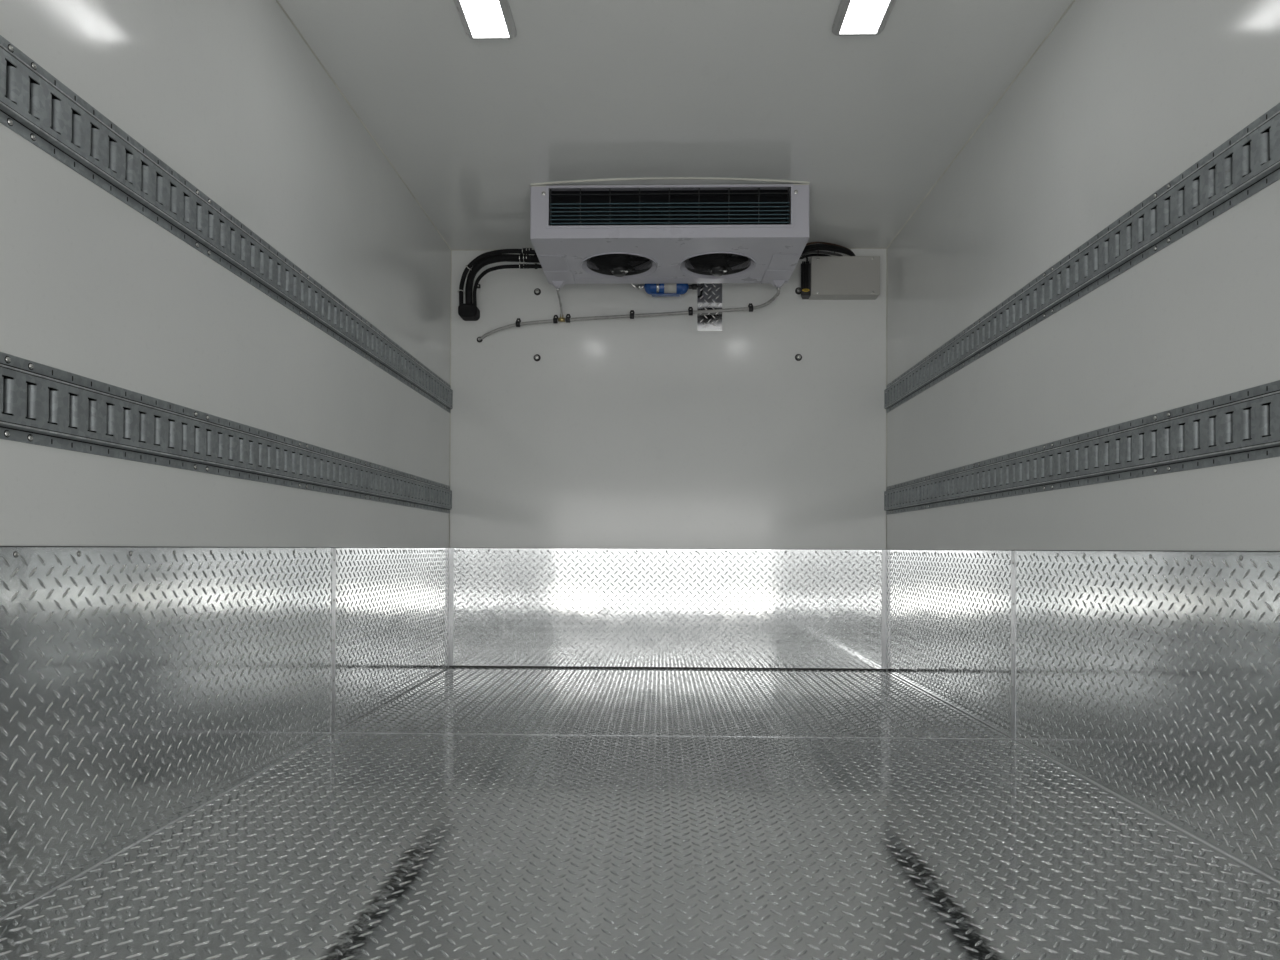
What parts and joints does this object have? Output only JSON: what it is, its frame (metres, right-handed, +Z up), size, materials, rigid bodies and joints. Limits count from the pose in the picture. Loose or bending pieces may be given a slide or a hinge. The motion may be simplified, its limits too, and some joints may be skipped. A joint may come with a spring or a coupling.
{
  "type": "refrigerated truck body",
  "caption": "Insulated box body of a refrigerated truck: tread-plate floor and lining, cargo tracks, ceiling evaporator, nose condenser and two folded-back rear doors.",
  "frame": {"origin": "on the ground plane under the middle of the body's outer box", "axes": "+Y is the direction of travel, +X the right hand side, +Z up"},
  "size_m": [2.736, 4.812, 2.559],
  "materials": {
    "painted_white": "gloss",
    "frp_white": "gloss",
    "tread_aluminium": "satin",
    "mill_aluminium": "satin",
    "galvanised_steel": "satin",
    "frame_steel": "satin",
    "bright_steel": "satin",
    "evaporator_white": "gloss",
    "black_plastic": "matte",
    "coil_fins": "matte",
    "black_rubber": "matte",
    "clear_tube": "satin",
    "box_grey": "satin",
    "drier_blue": "gloss",
    "lamp_red": "gloss",
    "lamp_amber": "gloss",
    "light_lens": "gloss",
    "light_frame": "satin"
  },
  "bodies": {
    "box_body": {"bottom_rails": "mill_aluminium", "cargo_tracks_left": "galvanised_steel", "cargo_tracks_right": "galvanised_steel", "ceiling_light_frames": "light_frame", "ceiling_light_lenses": "light_lens", "condenser_bolts": "bright_steel", "condenser_coil": "coil_fins", "condenser_housing": "painted_white", "control_box": "box_grey", "control_cable": "black_rubber", "control_side_block": "black_plastic", "cover_strip": "tread_aluminium", "crossmembers": "galvanised_steel", "dock_bumpers": "black_rubber", "door_holdbacks": "bright_steel", "door_keepers": "bright_steel", "drain_clips": "black_plastic", "drain_tube": "clear_tube", "evaporator_coil": "coil_fins", "evaporator_grille": "black_plastic", "evaporator_housing": "evaporator_white", "filter_drier": "drier_blue", "floor_panel": "frp_white", "floor_plates": "tread_aluminium", "front_corner_posts": "mill_aluminium", "front_kick_plate": "tread_aluminium", "front_wall": "frp_white", "hinge_butts": "bright_steel", "hose_boot": "black_rubber", "left_wall": "frp_white", "long_sills": "frame_steel", "mount_brackets": "frame_steel", "rear_header": "bright_steel", "rear_lamps": "lamp_red", "rear_posts": "bright_steel", "rear_sill": "bright_steel", "refrigerant_hoses": "black_rubber", "right_wall": "frp_white", "roof_panel": "frp_white", "roof_rails": "mill_aluminium", "side_kick_plates": "tread_aluminium", "side_lamps": "lamp_amber"},
    "left_door": {"left_door_gasket": "black_rubber", "left_door_lock_rod": "bright_steel", "left_door_panel": "frp_white", "left_door_straps": "bright_steel"},
    "evaporator_fan_left": {"evaporator_fan_left": "black_plastic"},
    "condenser_fan_left": {"condenser_fan_left": "black_plastic"},
    "right_door": {"right_door_gasket": "black_rubber", "right_door_lock_rod": "bright_steel", "right_door_panel": "frp_white", "right_door_straps": "bright_steel"},
    "evaporator_fan_right": {"evaporator_fan_right": "black_plastic"},
    "condenser_fan_right": {"condenser_fan_right": "black_plastic"}
  },
  "joints": [
    {"name": "left_door_hinge", "type": "hinge", "parent": "box_body", "child": "left_door", "pos_m": [-1.228, -2.391, 1.3], "axis": [0, 0, 1], "range_deg": [0, 270]},
    {"name": "right_door_hinge", "type": "hinge", "parent": "box_body", "child": "right_door", "pos_m": [1.228, -2.391, 1.3], "axis": [0, 0, 1], "range_deg": [-270, 0]},
    {"name": "evaporator_fan_left_spin", "type": "hinge", "parent": "box_body", "child": "evaporator_fan_left", "pos_m": [-0.227, 1.506, 2.257], "axis": [0, 0, 1], "continuous": true},
    {"name": "condenser_fan_left_spin", "type": "hinge", "parent": "box_body", "child": "condenser_fan_left", "pos_m": [-0.33, 2.366, 2.095], "axis": [0, 1, 0], "continuous": true},
    {"name": "evaporator_fan_right_spin", "type": "hinge", "parent": "box_body", "child": "evaporator_fan_right", "pos_m": [0.227, 1.506, 2.257], "axis": [0, 0, 1], "continuous": true},
    {"name": "condenser_fan_right_spin", "type": "hinge", "parent": "box_body", "child": "condenser_fan_right", "pos_m": [0.33, 2.366, 2.095], "axis": [0, 1, 0], "continuous": true}
  ]
}
